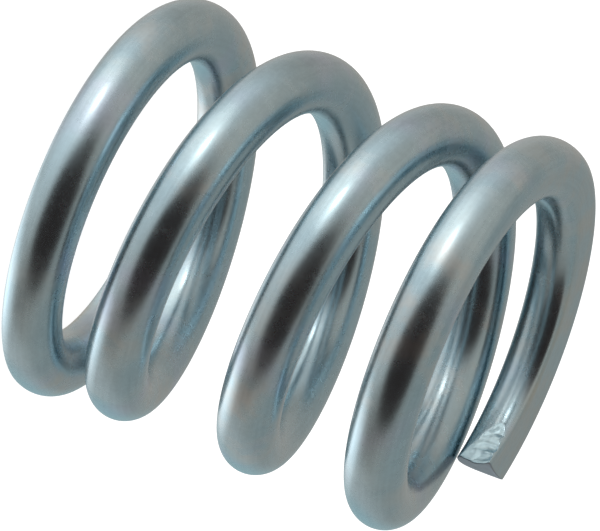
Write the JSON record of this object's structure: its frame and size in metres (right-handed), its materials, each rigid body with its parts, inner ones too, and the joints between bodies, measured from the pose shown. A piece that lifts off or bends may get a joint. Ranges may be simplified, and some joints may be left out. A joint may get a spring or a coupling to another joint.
{
  "type": "compression spring",
  "caption": "Small cylindrical compression spring wound left-handed from round plated wire, with closed and ground flat ends.",
  "frame": {"origin": "on the spring's axis, in the plane of the lower ground seat", "axes": "+Z along the spring's axis from the lower seat to the upper one; the lower wire tip lies at +X and the upper one 18 degrees from it, towards -Y"},
  "size_m": [0.0124, 0.0124, 0.013],
  "materials": {
    "plated_wire": "bright plating over drawn steel wire, satin gloss, with a cool grey tone"
  },
  "bodies": {
    "root": {"coil_spring": "plated_wire"}
  },
  "joints": []
}
